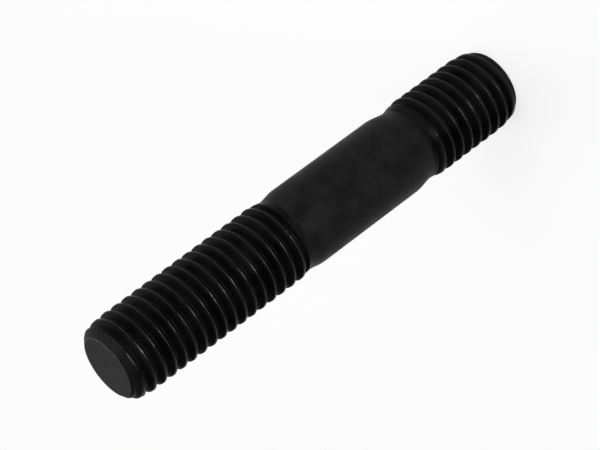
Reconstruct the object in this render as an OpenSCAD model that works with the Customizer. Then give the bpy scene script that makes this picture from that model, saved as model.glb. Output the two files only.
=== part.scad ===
// Double-ended stud bolt, one piece of black-finished steel.
// It stands on its short metal end, the end that is screwed into a casting, with the axis along +Z.
// The long nut end is on top. Both threads are right-handed and were rolled into a thinner blank,
// so a neck and a taper lead from each thread to the full-size shank between them.

/* [Thread] */
// Nominal size of both threads
thread_d = 12; // [10:0.5:14]
// Pitch of both threads, crest to crest
pitch = 1.75; // [1.25:0.05:2]
// Play under the nominal size at the crests, on the diameter
crest_play = 0.14; // [0:0.01:0.3]
// Full-depth thread on the nut end, measured from its end face
nut_thread_len = 29; // [20:0.1:34]
// Full-depth thread on the metal end, measured from its end face
metal_thread_len = 14.4; // [8:0.1:18]
// Turn at which the nut-end thread starts, seen from its end face
nut_thread_start = 0.305; // [0:0.001:1]
// Turn at which the metal-end thread starts, seen from its end face
metal_thread_start = 0.096; // [0:0.001:1]

/* [Run-out] */
// Length in which the nut-end thread fades into its neck
nut_runout_len = 2.3; // [1.5:0.1:5]
// Length in which the metal-end thread fades into its neck
metal_runout_len = 2.6; // [1.5:0.1:5]
// How far the nut-end neck stands over the pitch line, on the radius
nut_neck_over = 0.11; // [0:0.01:0.2]
// How far the metal-end neck stands over the pitch line, on the radius
metal_neck_over = 0.02; // [0:0.01:0.2]

/* [Shank] */
// End face to end face
overall_len = 71.2; // [62:0.1:100]
// Play under the nominal size along the shank, on the diameter
shank_play = 0.23; // [0:0.01:0.4]
// Angle between the tapers and the axis
taper_angle = 8.5; // [6:0.5:20]
// How soft the tapers' edges are: 0 is a plain cone, 1 has no edge
taper_softness = 0.4; // [0:0.05:1]

/* [Ends] */
// How far the edge of the nut end's face lies below the thread's root, on the radius
nut_face_below_root = 0.45; // [0.1:0.01:1]
// How far the edge of the metal end's face lies below the thread's root, on the radius
metal_face_below_root = 0.12; // [0.1:0.01:1]
// Angle between the nut end's chamfer and the axis
nut_chamfer_angle = 52; // [25:1:60]
// Angle between the metal end's chamfer and the axis
metal_chamfer_angle = 41; // [25:1:60]
// Rounding between the chamfer and the crests, along the radius
chamfer_blend = 0.3; // [0.1:0.05:1]
// Length from each end face in which the crests rise to their full height
lead_len = 4.2; // [2:0.1:6]
// How much lower the crests would be at the end face itself, on the radius
lead_drop = 0.7; // [0:0.05:0.8]
// Rounded edge between the end face and the chamfer
rim_round = 0.15; // [0.05:0.01:0.2]
// Depth of the shallow dish in each end face
dish_depth = 0.08; // [0.02:0.01:0.3]
// Width of the flat ring round that dish
face_land = 0.9; // [0.4:0.1:2]

/* [Hidden] */

// Fineness: flats in one turn of thread, and cones in one taper
turn_flats = 40;
taper_cones = 10;
rim_cones = 4;
// Round surfaces
$fn = 96;

// The standard 60 degree thread, built on a sharp triangle: how far its pitch line and its root
// lie under the nominal size, as shares of the triangle's height
sharp_height = pitch * cos(30);
pitch_line_share = 3 / 8;
root_share = 17 / 24;
pitch_r = thread_d / 2 - pitch_line_share * sharp_height;
root_r = thread_d / 2 - root_share * sharp_height;
crest_r = (thread_d - crest_play) / 2;
// Half the width of the crest's and of the root's flat, in pitches. On the pitch line both the
// ridge and the groove are half a pitch wide.
half_ridge = 1 / 4;
flank_slope = tan(30);
crest_half = half_ridge - (crest_r - pitch_r) * flank_slope / pitch;
root_half = half_ridge - (pitch_r - root_r) * flank_slope / pitch;
// The rows of one pitch of thread: where each lies, in pitches, and its radius
row_place = [-crest_half, crest_half, 1 / 2 - root_half, 1 / 2 + root_half];
row_r = [crest_r, crest_r, root_r, root_r];
rows = len(row_place);

shank_r = (thread_d - shank_play) / 2;
nut_neck_r = pitch_r + nut_neck_over;
metal_neck_r = pitch_r + metal_neck_over;
nut_face_r = root_r - nut_face_below_root;
metal_face_r = root_r - metal_face_below_root;

// Where the thread enters the plain tip and the neck it lies this far inside them, so that no two
// surfaces coincide
skin = 0.01;
// It reaches this far into the neck, and this share of the tip's length into the tip
neck_bury = 0.1;
tip_bury = 1 / 3;
// Spare pitches of rows, below and above, from which the thread's length is cut
spare_pitches = 2;

// The smaller of two radii, with a smooth blend where they are about equal
function smaller(a, b, blend) =
    let (overlap = max(blend - abs(a - b), 0) / blend)
    min(a, b) - overlap * overlap * blend / 4;
// Radius of the crests at height z over the end face. The first ones are not fully formed.
function lead_r(z) =
    let (missing = max(0, 1 - z / lead_len))
    crest_r - lead_drop * missing * missing;
// Outer radius of a thread at height z over its end face: the chamfer, blended into the crests
function end_shape_r(z, face_r, chamfer_angle) =
    smaller(face_r - skin + z * tan(chamfer_angle), lead_r(z), chamfer_blend);
// The plain tip ends where the chamfer meets the thread's root
function tip_len(face_r, chamfer_angle) = (root_r - face_r - skin) / tan(chamfer_angle);

// How much of the thread's depth is left at height z: 1 is all, 0 is none
function depth_left(z, thread_len, runout_len) =
    max(0, min(1, (thread_len + runout_len - z) / runout_len));

// Radius of the thread at height z without the chamfer, for a row whose full-depth radius is r
function faded_r(r, z, thread_len, runout_len, neck_r) =
    neck_r - skin + (r - neck_r + skin) * depth_left(z, thread_len, runout_len);

// Share of the taper's rise at share t of its length
function rise(t) = t - taper_softness * sin(360 * t) / (2 * PI);

// A rolled thread as one closed skin, from its plain tip (z = 0 is the end face) into its neck.
// The rows of points follow the helix, so crests and roots stay sharp all the way round.
module thread(thread_len, runout_len, neck_r, face_r, chamfer_angle, start) {
    low_z = tip_len(face_r, chamfer_angle) * (1 - tip_bury);
    high_z = thread_len + runout_len + neck_bury;
    flat_rise = pitch / turn_flats;
    row_total = (ceil(high_z / pitch) + 1 + spare_pitches) * rows;

    // Height of a row at one of the turn's flats
    function row_z(row, flat) =
        pitch * (floor(row / rows) - spare_pitches + row_place[row % rows] + start + flat / turn_flats);
    // First row that is cut off at the bottom and at the top of this flat
    lowest = [for (flat = [0:turn_flats - 1])
        max([for (row = [0:row_total]) if (row_z(row, flat) < low_z + flat_rise / 2) row])];
    highest = [for (flat = [0:turn_flats - 1])
        min([for (row = [0:row_total]) if (row_z(row, flat) > high_z - flat_rise / 2) row])];

    function point(row, flat) =
        let (
            z = row <= lowest[flat] ? low_z : row >= highest[flat] ? high_z : row_z(row, flat),
            faded = faded_r(row_r[row % rows], z, thread_len, runout_len, neck_r),
            r = min(faded, end_shape_r(z, face_r, chamfer_angle)),
            turn = 360 * flat / turn_flats
        )
        [r * cos(turn), r * sin(turn), z];
    // The point's number. Past the last flat, a row goes on one pitch higher at the first.
    function number(row, flat) =
        flat == turn_flats ? number(row + rows, 0)
        : flat * (row_total + 1) + max(lowest[flat], min(highest[flat], row));
    function keep(face) = [if (face[0] != face[1] && face[1] != face[2] && face[2] != face[0]) face];

    points = [for (flat = [0:turn_flats - 1]) for (row = [0:row_total]) point(row, flat)];
    sides = [for (flat = [0:turn_flats - 1]) for (row = [-rows:row_total])
        let (
            a = number(row, flat),
            b = number(row + 1, flat),
            c = number(row + 1, flat + 1),
            d = number(row, flat + 1)
        )
        each concat(keep([a, b, c]), keep([a, c, d]))];
    bottom = [for (flat = [0:turn_flats - 1]) number(0, flat)];
    top = [for (flat = [turn_flats - 1:-1:0]) number(row_total, flat)];
    polyhedron(points = points, faces = concat(sides, [bottom, top]), convexity = 10);
}

// The plain tip below the thread: a dished end face, a rounded rim and the first of the chamfer
module plain_tip(face_r, chamfer_angle) {
    rim_angle = 90 - chamfer_angle;
    rim_r = face_r - rim_round * tan(rim_angle / 2);
    rim = [for (i = [0:rim_cones])
        let (turn = -90 + rim_angle * i / rim_cones)
        [rim_r + rim_round * cos(turn), rim_round + rim_round * sin(turn)]];
    tip_z = tip_len(face_r, chamfer_angle);
    outline = concat(
        [[0, dish_depth], [face_r - face_land, 0]],
        rim,
        [[face_r + tip_z * tan(chamfer_angle), tip_z], [0, tip_z]]
    );
    rotate_extrude() polygon(outline);
}

// One threaded end, standing on its end face
module threaded_end(thread_len, runout_len, neck_r, face_r, chamfer_angle, start) {
    plain_tip(face_r, chamfer_angle);
    thread(thread_len, runout_len, neck_r, face_r, chamfer_angle, start);
}

// The full-size shank with both tapers and necks
module shank() {
    metal_neck_z = metal_thread_len + metal_runout_len;
    nut_neck_z = overall_len - nut_thread_len - nut_runout_len;
    metal_taper = (shank_r - metal_neck_r) / tan(taper_angle);
    nut_taper = (shank_r - nut_neck_r) / tan(taper_angle);
    up = [for (i = [0:taper_cones])
        let (t = i / taper_cones)
        [metal_neck_r + (shank_r - metal_neck_r) * rise(t), metal_neck_z + metal_taper * t]];
    down = [for (i = [0:taper_cones])
        let (t = 1 - i / taper_cones)
        [nut_neck_r + (shank_r - nut_neck_r) * rise(t), nut_neck_z - nut_taper * t]];
    rotate_extrude() polygon(concat([[0, metal_neck_z]], up, down, [[0, nut_neck_z]]));
}

module stud() {
    color([0.11, 0.11, 0.11]) {
        threaded_end(
            metal_thread_len, metal_runout_len, metal_neck_r,
            metal_face_r, metal_chamfer_angle, metal_thread_start);
        shank();
        translate([0, 0, overall_len])
            rotate([180, 0, 0])
                threaded_end(
                    nut_thread_len, nut_runout_len, nut_neck_r,
                    nut_face_r, nut_chamfer_angle, nut_thread_start);
    }
}

stud();
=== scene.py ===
import math
import random

import bpy
from mathutils import Matrix, Vector


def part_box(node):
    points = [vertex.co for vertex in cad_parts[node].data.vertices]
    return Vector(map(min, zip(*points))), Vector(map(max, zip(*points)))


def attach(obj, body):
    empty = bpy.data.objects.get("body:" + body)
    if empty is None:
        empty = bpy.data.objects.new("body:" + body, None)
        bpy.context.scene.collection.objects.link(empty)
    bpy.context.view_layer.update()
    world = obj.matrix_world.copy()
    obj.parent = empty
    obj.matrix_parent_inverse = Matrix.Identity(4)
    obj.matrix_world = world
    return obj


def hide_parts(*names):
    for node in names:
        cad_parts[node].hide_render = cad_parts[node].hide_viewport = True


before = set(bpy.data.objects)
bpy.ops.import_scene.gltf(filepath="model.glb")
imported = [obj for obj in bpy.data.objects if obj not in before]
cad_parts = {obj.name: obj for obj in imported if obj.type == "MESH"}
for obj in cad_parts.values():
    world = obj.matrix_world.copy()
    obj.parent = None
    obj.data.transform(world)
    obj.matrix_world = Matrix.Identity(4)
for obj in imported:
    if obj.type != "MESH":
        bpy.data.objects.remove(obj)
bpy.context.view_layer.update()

low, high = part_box("stud")

# Driving sizes, in millimetres, as in the part's own source
MM = 0.001
OVERALL_LEN = (high[2] - low[2]) / MM
NOMINAL_R = 6.0
PITCH = 1.75
CREST_R = 5.93
SHANK_R = 5.885
TAPER_ANGLE = math.radians(8.5)
TAPER_SOFTNESS = 0.4
CHAMFER_BLEND = 0.3
LEAD_LEN = 4.2
LEAD_DROP = 0.7
FACE_LAND = 0.9
DISH_DEPTH = 0.08

# Fine form of the end faces: a rounded rim, wider than in the source, and a small pit in the middle.
# The pit's reach is a share of the dish's radius.
RIM_ROUND = 0.3
PIT_DEPTH = 0.12
PIT_SHARE = 0.25

# Fine form of the rolled thread, in millimetres
CREST_BLEND = 0.08
ROOT_BLEND = 0.22
FLANK = math.radians(30)
PITCH_R = NOMINAL_R - 3 / 8 * PITCH * math.cos(FLANK)
ROOT_R = NOMINAL_R - 17 / 24 * PITCH * math.cos(FLANK)
# Half the width of a ridge on the pitch line, and of its crest, in pitches
HALF_RIDGE = 0.25
CREST_HALF = HALF_RIDGE - (CREST_R - PITCH_R) * math.tan(FLANK) / PITCH
# The blends shrink as the thread fades, but never under this share of their size
LEAST_BLEND = 0.02

# Points round the axis, and rows of points along one pitch: close at crest and root, wide on the flanks
AROUND = 128
LOWER_ROWS = [0.455, 0.41, 0.37, 0.3, 0.22, 0.15, 0.12, 0.1, 0.085, 0.07, 0.05, 0.025, 0.0]
UPPER_ROWS = [0.03, 0.06, 0.08, 0.1, 0.12, 0.15, 0.2, 0.26, 0.32, 0.37, 0.41, 0.455, 0.5]
ROW_PLACES = [-place for place in LOWER_ROWS] + UPPER_ROWS
# Turns of rows beyond each end of a thread, to be cut at its first and last ring
SPARE_TURNS = 2
# Steps along a taper, steps round the rim of an end face, and rings across its dish, by share of its radius
TAPER_STEPS = 12
RIM_STEPS = 8
DISH_RINGS = (0.04, 0.09, 0.15, 0.2, 0.25, 0.5, 0.8, 0.92, 1.0)

# The two threaded ends: where the end face is, which way the thread leads away from it, and its sizes.
# Rolling leaves a low lip along the lower edge of each crest. lip_rise is its height, lip_in is the
# length from the end face in which it grows, and lip_out the length before the neck in which it goes.
METAL_END = {
    "face_z": 0.0,
    "away": 1,
    "thread_len": 14.4,
    "runout_len": 2.6,
    "start": 0.096,
    "neck_r": PITCH_R + 0.02,
    "face_r": ROOT_R - 0.12,
    "chamfer": math.radians(41),
    "lip_rise": 0.056,
    "lip_in": 0.5,
    "lip_out": 6.5,
}
NUT_END = {
    "face_z": OVERALL_LEN,
    "away": -1,
    "thread_len": 29.0,
    "runout_len": 2.3,
    "start": 0.305,
    "neck_r": PITCH_R + 0.11,
    "face_r": ROOT_R - 0.45,
    "chamfer": math.radians(52),
    "lip_rise": 0.04,
    "lip_in": 4.2,
    "lip_out": 1.0,
}

# Small dents in the crests, at seeded places: how many in one turn of thread, how far they reach, how deep
# the deepest ones are, and the shallowest ones as a share of that
NICK_SEED = 11
NICKS_A_TURN = 1.4
NICK_REACH = 0.45
NICK_DEPTH = 0.11
NICK_LEAST = 0.3

# Zones of the surface, each with its own finish
THREAD, LIP, TIP, SHANK, FACE, RIM = range(6)
# Length from an end face in which the chamfer's finish covers everything
TIP_LEN = 0.9
# Where less than this share of the thread's depth is left, the surface has the shank's finish
THREAD_LEAST = 0.02
# Where more than this share is left, the lip has its own finish, from just past the crest's lower edge
# nearly to its middle, in pitches above that middle
LIP_LEAST = 0.73
LIP_FROM = -CREST_HALF - 0.02
LIP_TO = -0.01

# The part of a noise's range, 0 to 1, in which its values mostly lie
NOISE_LOW = 0.38
NOISE_HIGH = 0.62

# How white the floor looks to the camera and in reflections: 0 is its lit colour, 1 is pure white
FLOOR_WHITE = 0.75

# Width of the photograph, in pixels
PHOTO_WIDTH = 600


def smaller(a, b, blend):
    """The smaller of two radii, with a smooth blend where they are about equal."""
    overlap = max(blend - abs(a - b), 0) / blend
    return min(a, b) - overlap * overlap * blend / 4


def larger(a, b, blend):
    """The larger of two radii, with a smooth blend where they are about equal."""
    return -smaller(-a, -b, blend)


def ridge_r(end, place, top_r, lip_rise, left):
    """Thread radius at a place along one pitch, in pitches above the crest's middle, under a top radius.

    Where less than the full depth is left, the groove is shallower and the ridge is lower and wider.
    """
    lift = (end["neck_r"] - ROOT_R) * (1 - left)
    distance = abs((place + 0.5) % 1 - 0.5)
    flank_r = PITCH_R + (HALF_RIDGE - distance) * PITCH / math.tan(FLANK) + lift
    lip = max(0.0, min(1.0, -place / CREST_HALF))
    crest_r = end["neck_r"] + (top_r - lip_rise * (1 - lip) - end["neck_r"]) * left
    softness = max(left, LEAST_BLEND)
    ridge = smaller(flank_r, crest_r, CREST_BLEND * softness)
    return larger(ridge, ROOT_R + lift, ROOT_BLEND * softness)


def depth_left(end, from_face):
    """How much of the thread's depth is left at a distance from the end face: 1 is all, 0 is none."""
    share = (end["thread_len"] + end["runout_len"] - from_face) / end["runout_len"]
    share = max(0.0, min(1.0, share))
    return share * share * (3 - 2 * share)


def chamfer_r(end, from_face):
    """Radius of the chamfer's cone at a distance from the end face."""
    return end["face_r"] + from_face * math.tan(end["chamfer"])


def lead_r(from_face):
    """Radius of the crests at a distance from the end face. The first ones are not fully formed."""
    missing = max(0.0, 1 - from_face / LEAD_LEN)
    return CREST_R - LEAD_DROP * missing * missing


def crest_start(end):
    """Height of the crest's middle where the thread starts, at turn 0."""
    return end["face_z"] + end["away"] * end["start"] * PITCH


def make_nicks():
    """Places (x, y, z) and depths of the small dents, spread along the crests of both threads."""
    pick = random.Random(NICK_SEED)
    nicks = []
    for end in (METAL_END, NUT_END):
        turns = end["thread_len"] / PITCH
        for _ in range(round(turns * NICKS_A_TURN)):
            turn = end["away"] * turns * pick.random()
            depth = NICK_DEPTH * (NICK_LEAST + (1 - NICK_LEAST) * pick.random())
            angle = 2 * math.pi * turn
            z = crest_start(end) + PITCH * turn
            nicks.append(((CREST_R * math.cos(angle), CREST_R * math.sin(angle), z), depth))
    return nicks


def nick_depth(nicks, r, turn, z):
    """How far the dents lower a spot on the thread."""
    angle = 2 * math.pi * turn
    spot = (r * math.cos(angle), r * math.sin(angle), z)
    total = 0.0
    for place, depth in nicks:
        if abs(z - place[2]) < NICK_REACH:
            share = math.dist(spot, place) / NICK_REACH
            total += depth * max(0.0, 1 - share * share) ** 2
    return total


def thread_r(end, place, z):
    """Radius of an end's thread, with its run-out and the chamfer across its first crests."""
    from_face = abs(z - end["face_z"])
    cone_r = chamfer_r(end, from_face)
    top_r = smaller(cone_r, lead_r(from_face), CHAMFER_BLEND)
    from_neck = max(0.0, end["thread_len"] + end["runout_len"] - from_face)
    lip_rise = end["lip_rise"] * min(1.0, from_face / end["lip_in"], from_neck / end["lip_out"])
    return min(ridge_r(end, place, top_r, lip_rise, depth_left(end, from_face)), cone_r)


def thread_zone(end, place, z):
    """Which finish a spot on the thread has."""
    from_face = abs(z - end["face_z"])
    if from_face < TIP_LEN:
        return TIP
    left = depth_left(end, from_face)
    if left < THREAD_LEAST:
        return SHANK
    if left > LIP_LEAST and LIP_FROM < place < LIP_TO:
        return LIP
    return THREAD


def taper_outline(end):
    """Points (radius, z) from an end's neck up to the full shank."""
    neck_z = end["face_z"] + end["away"] * (end["thread_len"] + end["runout_len"])
    length = (SHANK_R - end["neck_r"]) / math.tan(TAPER_ANGLE)
    points = []
    for i in range(TAPER_STEPS + 1):
        t = i / TAPER_STEPS
        rise = t - TAPER_SOFTNESS * math.sin(2 * math.pi * t) / (2 * math.pi)
        r = end["neck_r"] + (SHANK_R - end["neck_r"]) * rise
        points.append((r, neck_z + end["away"] * length * t))
    return points


def dish_z(share):
    """Depth of an end face's dish at a share of its radius. A small pit marks its middle."""
    pit = max(0.0, 1 - share / PIT_SHARE)
    return DISH_DEPTH * (1 - share * share) + PIT_DEPTH * pit * pit * (3 - 2 * pit)


def face_outline(end):
    """Points (radius, z) of an end face, from near its middle out to where the thread begins."""
    turn_total = math.pi / 2 - end["chamfer"]
    face_r = end["face_r"]
    rim_r = face_r - RIM_ROUND * math.tan(turn_total / 2)
    dish_r = face_r - FACE_LAND
    points = [(dish_r * share, dish_z(share)) for share in DISH_RINGS]
    points.append(((dish_r + rim_r) / 2, 0.0))
    for i in range(RIM_STEPS + 1):
        turn = turn_total * i / RIM_STEPS
        points.append((rim_r + RIM_ROUND * math.sin(turn), RIM_ROUND * (1 - math.cos(turn))))
    points.append((ROOT_R, (ROOT_R - face_r) / math.tan(end["chamfer"])))
    return [(r, end["face_z"] + end["away"] * from_face) for r, from_face in points]


class Skin:
    """Collects the points and faces of the stud's outer surface, from the bottom up."""

    def __init__(self):
        self.nicks = make_nicks()
        self.points = []
        self.faces = []
        self.zones = []

    def point(self, r, turn, z):
        """Adds one point and returns its number."""
        angle = 2 * math.pi * turn
        self.points.append((r * math.cos(angle) * MM, r * math.sin(angle) * MM, z * MM))
        return len(self.points) - 1

    def ring(self, r, z):
        """Adds a ring of points round the axis."""
        return [self.point(r, i / AROUND, z) for i in range(AROUND)]

    def face(self, corners, zone):
        """Adds a face, without the corners that fall together. One that has no area is left out."""
        kept = [corner for i, corner in enumerate(corners) if corner != corners[i - 1]]
        if len(set(kept)) == len(kept) and len(kept) > 2:
            self.faces.append(kept)
            self.zones.append(zone)

    def band(self, lower, upper, zone):
        """Adds the faces between two rings."""
        for i in range(AROUND):
            j = (i + 1) % AROUND
            self.face([lower[i], lower[j], upper[j], upper[i]], zone)

    def rings(self, lower, outline, zone):
        """Adds a ring and a band for each point of an outline. Returns the last ring."""
        for r, z in outline:
            upper = self.ring(r, z)
            self.band(lower, upper, zone)
            lower = upper
        return lower

    def thread(self, end, lower, low_z, upper, high_z):
        """Adds rows that follow the helix between two rings, so that crests and roots stay crisp."""
        count = len(ROW_PLACES)
        margin = PITCH / AROUND / 2
        origin = crest_start(end)
        first = math.floor((low_z - origin) / PITCH) - SPARE_TURNS
        last = math.ceil((high_z - origin) / PITCH) + SPARE_TURNS
        made = {}

        def height(row, i):
            return origin + PITCH * (row // count + ROW_PLACES[row % count] + i / AROUND)

        def number(row, i):
            """The number of a row's point at step i. Past a whole turn, the row goes on one pitch higher."""
            if i == AROUND:
                return number(row + count, 0)
            z = height(row, i)
            if z < low_z + margin:
                return lower[i]
            if z > high_z - margin:
                return upper[i]
            if (row, i) not in made:
                r = thread_r(end, ROW_PLACES[row % count], z)
                r -= nick_depth(self.nicks, r, i / AROUND, z)
                made[row, i] = self.point(r, i / AROUND, z)
            return made[row, i]

        for i in range(AROUND):
            for row in range(first * count, last * count):
                corners = [
                    number(row, i),
                    number(row, i + 1),
                    number(row + 1, i + 1),
                    number(row + 1, i),
                ]
                place = ROW_PLACES[row % count]
                next_place = place + (ROW_PLACES[(row + 1) % count] - place) % 1
                middle_z = (height(row, i) + height(row + 1, i)) / 2
                self.face(corners, thread_zone(end, (place + next_place) / 2, middle_z))


def make_skin():
    """The stud's whole outer surface, from the metal end's face up to the nut end's face."""
    skin = Skin()
    bottom = face_outline(METAL_END)
    top = face_outline(NUT_END)[::-1]
    shank = taper_outline(METAL_END) + taper_outline(NUT_END)[::-1]

    middle = skin.point(0, 0, dish_z(0))
    lower = skin.ring(*bottom[0])
    for i in range(AROUND):
        skin.face([middle, lower[(i + 1) % AROUND], lower[i]], FACE)
    rim_start = len(bottom) - RIM_STEPS - 1
    lower = skin.rings(lower, bottom[1:rim_start], FACE)
    lower = skin.rings(lower, bottom[rim_start:-1], RIM)
    lower = skin.rings(lower, bottom[-1:], TIP)

    upper = skin.ring(*shank[0])
    skin.thread(METAL_END, lower, bottom[-1][1], upper, shank[0][1])
    lower = skin.rings(upper, shank[1:], SHANK)
    upper = skin.ring(*top[0])
    skin.thread(NUT_END, lower, shank[-1][1], upper, top[0][1])

    rim_end = RIM_STEPS + 2
    lower = skin.rings(upper, top[1:2], TIP)
    lower = skin.rings(lower, top[2:rim_end], RIM)
    lower = skin.rings(lower, top[rim_end:], FACE)
    middle = skin.point(0, 0, OVERALL_LEN - dish_z(0))
    for i in range(AROUND):
        skin.face([lower[i], lower[(i + 1) % AROUND], middle], FACE)
    return skin


def build_stud():
    """The stud as one smooth-shaded mesh, with a finish for each zone of its surface."""
    skin = make_skin()
    mesh = bpy.data.meshes.new("stud_skin")
    mesh.from_pydata(skin.points, [], skin.faces)
    mesh.polygons.foreach_set("use_smooth", [True] * len(mesh.polygons))
    mesh.polygons.foreach_set("material_index", skin.zones)
    mesh.update()
    stud = bpy.data.objects.new("stud_skin", mesh)
    bpy.context.scene.collection.objects.link(stud)
    for finish in make_finishes():
        mesh.materials.append(finish)
    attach(stud, "root")
    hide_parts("stud")


def make_finishes():
    """One finish for each zone, in the order of the zones' numbers."""
    return [
        steel("thread_steel", tone=0.0035, roughness=0.35, specular=0.03),
        steel("crest_steel", tone=0.0015, roughness=0.33, specular=0.21, play=0.23, cloud_scale=700),
        steel("tip_steel", tone=0.0048, roughness=0.45, specular=0.065, cloud_scale=700),
        steel("shank_steel", tone=0.005, roughness=0.5, specular=0.061, cloud_scale=420),
        steel("face_steel", tone=0.012, roughness=0.5, specular=0.1, patch=0.15),
        steel("rim_steel", tone=0.012, roughness=0.4, specular=0.2),
    ]


def steel(name, tone, roughness, specular, patch=0.4, play=0.06, cloud_scale=260):
    """Black-finished steel: dark, with a fine grain and soft cloudy patches.

    The patches change the tone by the share patch either way, and the roughness by play either way.
    """
    material = bpy.data.materials.new(name)
    material.use_nodes = True
    nodes = material.node_tree.nodes
    links = material.node_tree.links
    shader = nodes["Principled BSDF"]
    shader.inputs["Metallic"].default_value = 0.0
    shader.inputs["Specular IOR Level"].default_value = specular
    place = nodes.new("ShaderNodeTexCoord")

    clouds = nodes.new("ShaderNodeTexNoise")
    clouds.inputs["Scale"].default_value = cloud_scale
    clouds.inputs["Detail"].default_value = 4
    links.new(place.outputs["Object"], clouds.inputs["Vector"])

    colour = nodes.new("ShaderNodeValToRGB")
    dark, pale = colour.color_ramp.elements
    dark.position = NOISE_LOW
    dark.color = [tone * (1 - patch)] * 3 + [1]
    pale.position = NOISE_HIGH
    pale.color = [tone * (1 + patch)] * 3 + [1]
    links.new(clouds.outputs["Fac"], colour.inputs["Fac"])
    links.new(colour.outputs["Color"], shader.inputs["Base Color"])

    rough = nodes.new("ShaderNodeMapRange")
    rough.inputs["From Min"].default_value = NOISE_LOW
    rough.inputs["From Max"].default_value = NOISE_HIGH
    rough.inputs["To Min"].default_value = roughness - play
    rough.inputs["To Max"].default_value = roughness + play
    links.new(clouds.outputs["Fac"], rough.inputs["Value"])
    links.new(rough.outputs["Result"], shader.inputs["Roughness"])

    grain = nodes.new("ShaderNodeTexNoise")
    grain.inputs["Scale"].default_value = 5000
    grain.inputs["Detail"].default_value = 3
    links.new(place.outputs["Object"], grain.inputs["Vector"])
    bump = nodes.new("ShaderNodeBump")
    bump.inputs["Strength"].default_value = 0.3
    bump.inputs["Distance"].default_value = 0.02 * MM
    links.new(grain.outputs["Fac"], bump.inputs["Height"])
    links.new(bump.outputs["Normal"], shader.inputs["Normal"])
    return material


def build_floor():
    """A pale floor that keeps a faint shadow.

    To the camera and in reflections it is whiter than its lit colour.
    """
    bpy.ops.mesh.primitive_plane_add(size=8, location=(0, 0, 0))
    floor = bpy.context.object
    floor.name = "floor"
    material = bpy.data.materials.new("floor")
    material.use_nodes = True
    nodes = material.node_tree.nodes
    links = material.node_tree.links
    shader = nodes["Principled BSDF"]
    shader.inputs["Base Color"].default_value = (0.92, 0.92, 0.92, 1)
    shader.inputs["Roughness"].default_value = 0.9
    shader.inputs["Specular IOR Level"].default_value = 0.0

    ray = nodes.new("ShaderNodeLightPath")
    seen = ray.outputs["Is Camera Ray"]
    for kind in ("Is Glossy Ray", "Is Transmission Ray"):
        either = nodes.new("ShaderNodeMath")
        either.operation = "MAXIMUM"
        links.new(seen, either.inputs[0])
        links.new(ray.outputs[kind], either.inputs[1])
        seen = either.outputs["Value"]
    share = nodes.new("ShaderNodeMath")
    share.operation = "MULTIPLY"
    share.inputs[1].default_value = FLOOR_WHITE
    links.new(seen, share.inputs[0])
    white = nodes.new("ShaderNodeEmission")
    white.inputs["Strength"].default_value = 1.0
    mix = nodes.new("ShaderNodeMixShader")
    links.new(share.outputs["Value"], mix.inputs["Fac"])
    links.new(shader.outputs["BSDF"], mix.inputs[1])
    links.new(white.outputs["Emission"], mix.inputs[2])
    links.new(mix.outputs["Shader"], nodes["Material Output"].inputs["Surface"])
    floor.data.materials.append(material)


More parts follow.
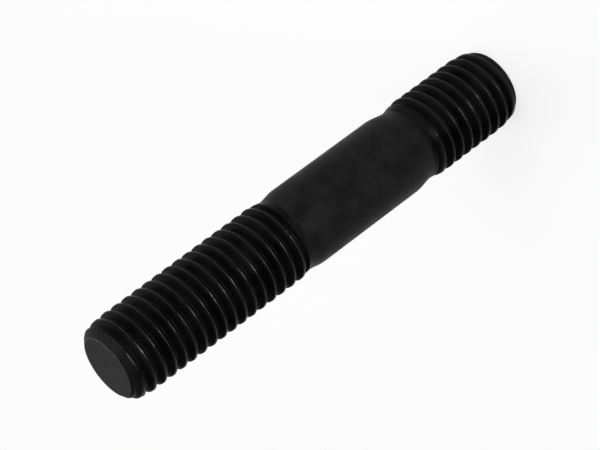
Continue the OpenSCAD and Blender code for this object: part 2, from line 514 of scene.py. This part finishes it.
def build_world():
    """A plain studio sky, dark on the -X side and bright on the +X side.

    Near the horizon the change lies further towards +X than high up.
    """
    world = bpy.data.worlds.new("studio")
    bpy.context.scene.world = world
    world.use_nodes = True
    nodes = world.node_tree.nodes
    links = world.node_tree.links
    background = nodes["Background"]
    place = nodes.new("ShaderNodeTexCoord")
    split = nodes.new("ShaderNodeSeparateXYZ")
    links.new(place.outputs["Generated"], split.inputs["Vector"])

    def ramp(part, between, result):
        """Goes from one result to the other while a part of the direction goes between two values."""
        node = nodes.new("ShaderNodeMapRange")
        node.inputs["From Min"].default_value = between[0]
        node.inputs["From Max"].default_value = between[1]
        node.inputs["To Min"].default_value = result[0]
        node.inputs["To Max"].default_value = result[1]
        links.new(split.outputs[part], node.inputs["Value"])
        return node.outputs["Result"]

    low_sky = ramp("X", between=(0, 0.9), result=(0.12, 1.1))
    high_sky = ramp("X", between=(-0.4, 0.3), result=(0.06, 1.2))
    height = ramp("Z", between=(0.15, 0.45), result=(0, 1))
    blend = nodes.new("ShaderNodeMix")
    links.new(height, blend.inputs["Factor"])
    links.new(low_sky, blend.inputs["A"])
    links.new(high_sky, blend.inputs["B"])
    links.new(blend.outputs["Result"], background.inputs["Strength"])
    background.inputs["Color"].default_value = (1, 1, 1, 1)


def build_lamp(name, azimuth, elevation, distance, size, radiance):
    """A soft square lamp that looks at the stud's middle. Azimuth 0 is the camera's side."""
    lamp = bpy.data.lights.new(name, "AREA")
    lamp.size = size
    lamp.energy = radiance * math.pi * size * size
    obj = bpy.data.objects.new(name, lamp)
    bpy.context.scene.collection.objects.link(obj)
    turn = math.radians(azimuth)
    rise = math.radians(elevation)
    way = Vector((math.sin(turn) * math.cos(rise), -math.cos(turn) * math.cos(rise), math.sin(rise)))
    aim = Vector((0, 0, OVERALL_LEN * MM / 2))
    obj.location = aim + way * distance
    obj.rotation_euler = way.to_track_quat("Z", "Y").to_euler()


def build_camera():
    """The photograph's camera.

    It looks down on the standing stud and is rolled, so that the stud lies aslant in the picture.
    """
    camera_data = bpy.data.cameras.new("camera")
    camera_data.sensor_fit = "HORIZONTAL"
    camera_data.sensor_width = 36
    camera_data.lens = 149.328
    # Half a pixel each way
    camera_data.shift_x = -0.5 / PHOTO_WIDTH
    camera_data.shift_y = 0.5 / PHOTO_WIDTH
    camera_data.clip_start = 0.01
    camera = bpy.data.objects.new("camera", camera_data)
    bpy.context.scene.collection.objects.link(camera)
    look_down = math.radians(26.294)
    roll = math.radians(-126.594)
    place = Matrix.Translation((-0.000130, -0.297614, 0.184187))
    tilt = Matrix.Rotation(math.pi / 2 - look_down, 4, "X")
    camera.matrix_world = place @ tilt @ Matrix.Rotation(roll, 4, "Z")
    bpy.context.scene.camera = camera


build_camera()
build_stud()
build_floor()
build_world()
build_lamp("top", azimuth=35, elevation=65, distance=1.4, size=0.6, radiance=3.5)
build_lamp("low", azimuth=-16, elevation=9, distance=1.2, size=0.5, radiance=12)
build_lamp("back", azimuth=160, elevation=55, distance=1.4, size=0.5, radiance=3)
bpy.context.scene.view_settings.view_transform = "Standard"
